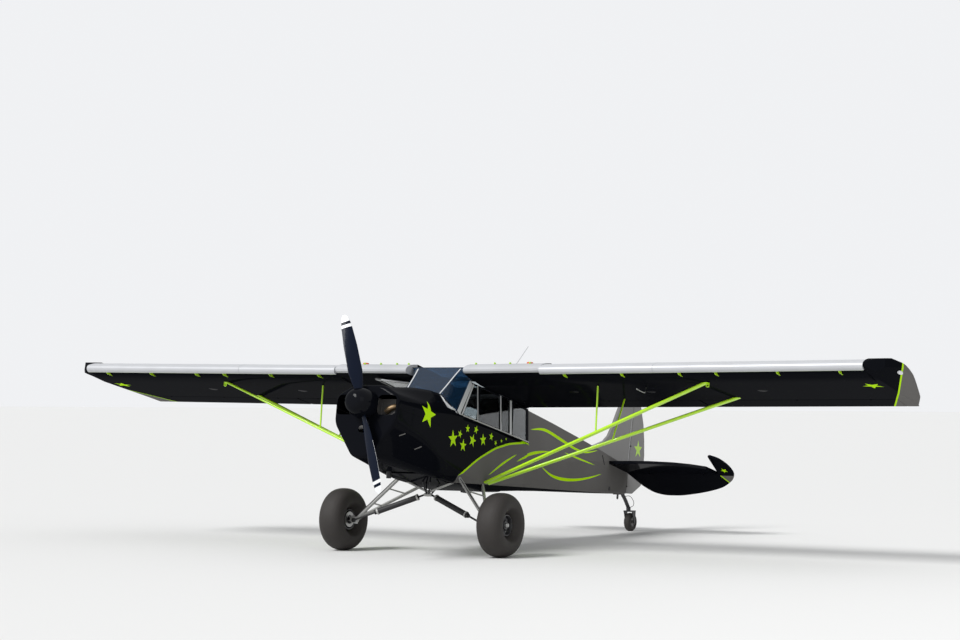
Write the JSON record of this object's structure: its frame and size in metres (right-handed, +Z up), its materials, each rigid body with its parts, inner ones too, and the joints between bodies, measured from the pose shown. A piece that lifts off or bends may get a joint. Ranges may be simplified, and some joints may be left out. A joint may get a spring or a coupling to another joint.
{
  "type": "microlight aircraft",
  "caption": "Tandem high-wing microlight with slatted wing, strut bracing, fat main tyres and a steered tail wheel, parked with its upper door leaf raised.",
  "frame": {"origin": "middle of the bounding box's floor side, on the ground", "axes": "+X to port along the wing, +Y aft, +Z up; the nose points to -Y"},
  "size_m": [9.5968, 6.284, 2.3616],
  "materials": {
    "black": "gloss",
    "blade": "gloss",
    "dark": "satin",
    "engine": "cast",
    "glass": "clear",
    "grey": "satin",
    "lime": "gloss",
    "rim": "satin",
    "seat": "woven",
    "silver": "satin",
    "tube": "satin",
    "tyre": "matte"
  },
  "bodies": {
    "airframe": {"aerial": "dark", "cabane": "tube", "cabin_shell": "black", "cowl_lower": "black", "cowl_upper": "black", "engine": "engine", "exhaust_pipe": "dark", "fin": "grey", "gear_leg_left": "tube", "gear_leg_right": "tube", "instrument_panel": "dark", "jury_struts_left": "lime", "jury_struts_right": "lime", "lift_strut_front_left": "lime", "lift_strut_front_right": "lime", "lift_strut_rear_left": "lime", "lift_strut_rear_right": "lime", "roof_rear": "grey", "seat_front": "seat", "seat_rear": "seat", "shock_strut_left": "dark", "shock_strut_right": "dark", "skylight": "glass", "slat_left": "silver", "slat_right": "silver", "spar_tubes": "dark", "stabiliser": "black", "tail_cone": "grey", "tail_spring": "dark", "windows_left": "glass", "windows_right": "glass", "windshield": "glass", "wing_left": "black", "wing_right": "black"},
    "propeller": {"propeller": "blade", "spinner": "black"},
    "wheel_left": {"tyre_left": "tyre", "rim_left": "rim"},
    "wheel_right": {"tyre_right": "tyre", "rim_right": "rim"},
    "tail_fork": {"tail_fork": "dark"},
    "tail_wheel": {"tail_wheel": "tyre"},
    "aileron_left": {"aileron_left": "black"},
    "aileron_right": {"aileron_right": "black"},
    "flap_left": {"flap_left": "black"},
    "flap_right": {"flap_right": "black"},
    "elevator": {"elevator": "black"},
    "rudder": {"rudder": "grey"},
    "door_upper": {"door_upper": "black", "door_upper_glass": "glass"},
    "door_lower": {"door_lower": "black"}
  },
  "joints": [
    {"name": "propeller_spin", "type": "hinge", "parent": "airframe", "child": "propeller", "pos_m": [0, -2.95735, 1.50335], "axis": [0, -0.9781, 0.2079], "continuous": true},
    {"name": "wheel_left_spin", "type": "hinge", "parent": "airframe", "child": "wheel_left", "pos_m": [0.926, -1.87568, 0.3155], "axis": [1, 0, 0], "continuous": true},
    {"name": "wheel_right_spin", "type": "hinge", "parent": "airframe", "child": "wheel_right", "pos_m": [-0.926, -1.87568, 0.3155], "axis": [1, 0, 0], "continuous": true},
    {"name": "tail_fork_swivel", "type": "hinge", "parent": "airframe", "child": "tail_fork", "pos_m": [0, 2.75741, 0.229], "axis": [0, 0, 1], "range_deg": [-35, 35]},
    {"name": "tail_wheel_spin", "type": "hinge", "parent": "tail_fork", "child": "tail_wheel", "pos_m": [0, 2.80741, 0.1075], "axis": [1, 0, 0], "continuous": true},
    {"name": "aileron_left_hinge", "type": "hinge", "parent": "airframe", "child": "aileron_left", "pos_m": [3.48, -0.53429, 1.59627], "axis": [1, 0.002, 0.0092], "range_deg": [-18, 18]},
    {"name": "aileron_right_hinge", "type": "hinge", "parent": "airframe", "child": "aileron_right", "pos_m": [-3.48, -0.53429, 1.59627], "axis": [1, -0.002, -0.0092], "range_deg": [-18, 18]},
    {"name": "flap_left_hinge", "type": "hinge", "parent": "airframe", "child": "flap_left", "pos_m": [1.432, -0.5383, 1.57739], "axis": [-1, -0.002, -0.0092], "range_deg": [0, 30]},
    {"name": "flap_right_hinge", "type": "hinge", "parent": "airframe", "child": "flap_right", "pos_m": [-1.432, -0.5383, 1.57739], "axis": [-1, 0.002, 0.0092], "range_deg": [0, 30]},
    {"name": "elevator_hinge", "type": "hinge", "parent": "airframe", "child": "elevator", "pos_m": [0, 2.6509, 0.71306], "axis": [1, 0, 0], "range_deg": [0, 46]},
    {"name": "rudder_hinge", "type": "hinge", "parent": "airframe", "child": "rudder", "pos_m": [0, 2.79043, 1.06167], "axis": [0, 0.2079, 0.9781], "range_deg": [-20, 20]},
    {"name": "door_upper_hinge", "type": "hinge", "parent": "airframe", "child": "door_upper", "pos_m": [-0.34, -1.41933, 1.71214], "axis": [0, -0.9633, 0.2683], "range_deg": [0, 87]},
    {"name": "door_lower_hinge", "type": "hinge", "parent": "airframe", "child": "door_lower", "pos_m": [-0.383, -1.45395, 0.85664], "axis": [0, -0.9781, 0.2079], "range_deg": [0, 75]}
  ],
  "couplings": [
    {"joint": "aileron_right_hinge", "follows": "aileron_left_hinge", "ratio": -1},
    {"joint": "flap_right_hinge", "follows": "flap_left_hinge", "ratio": 1}
  ]
}
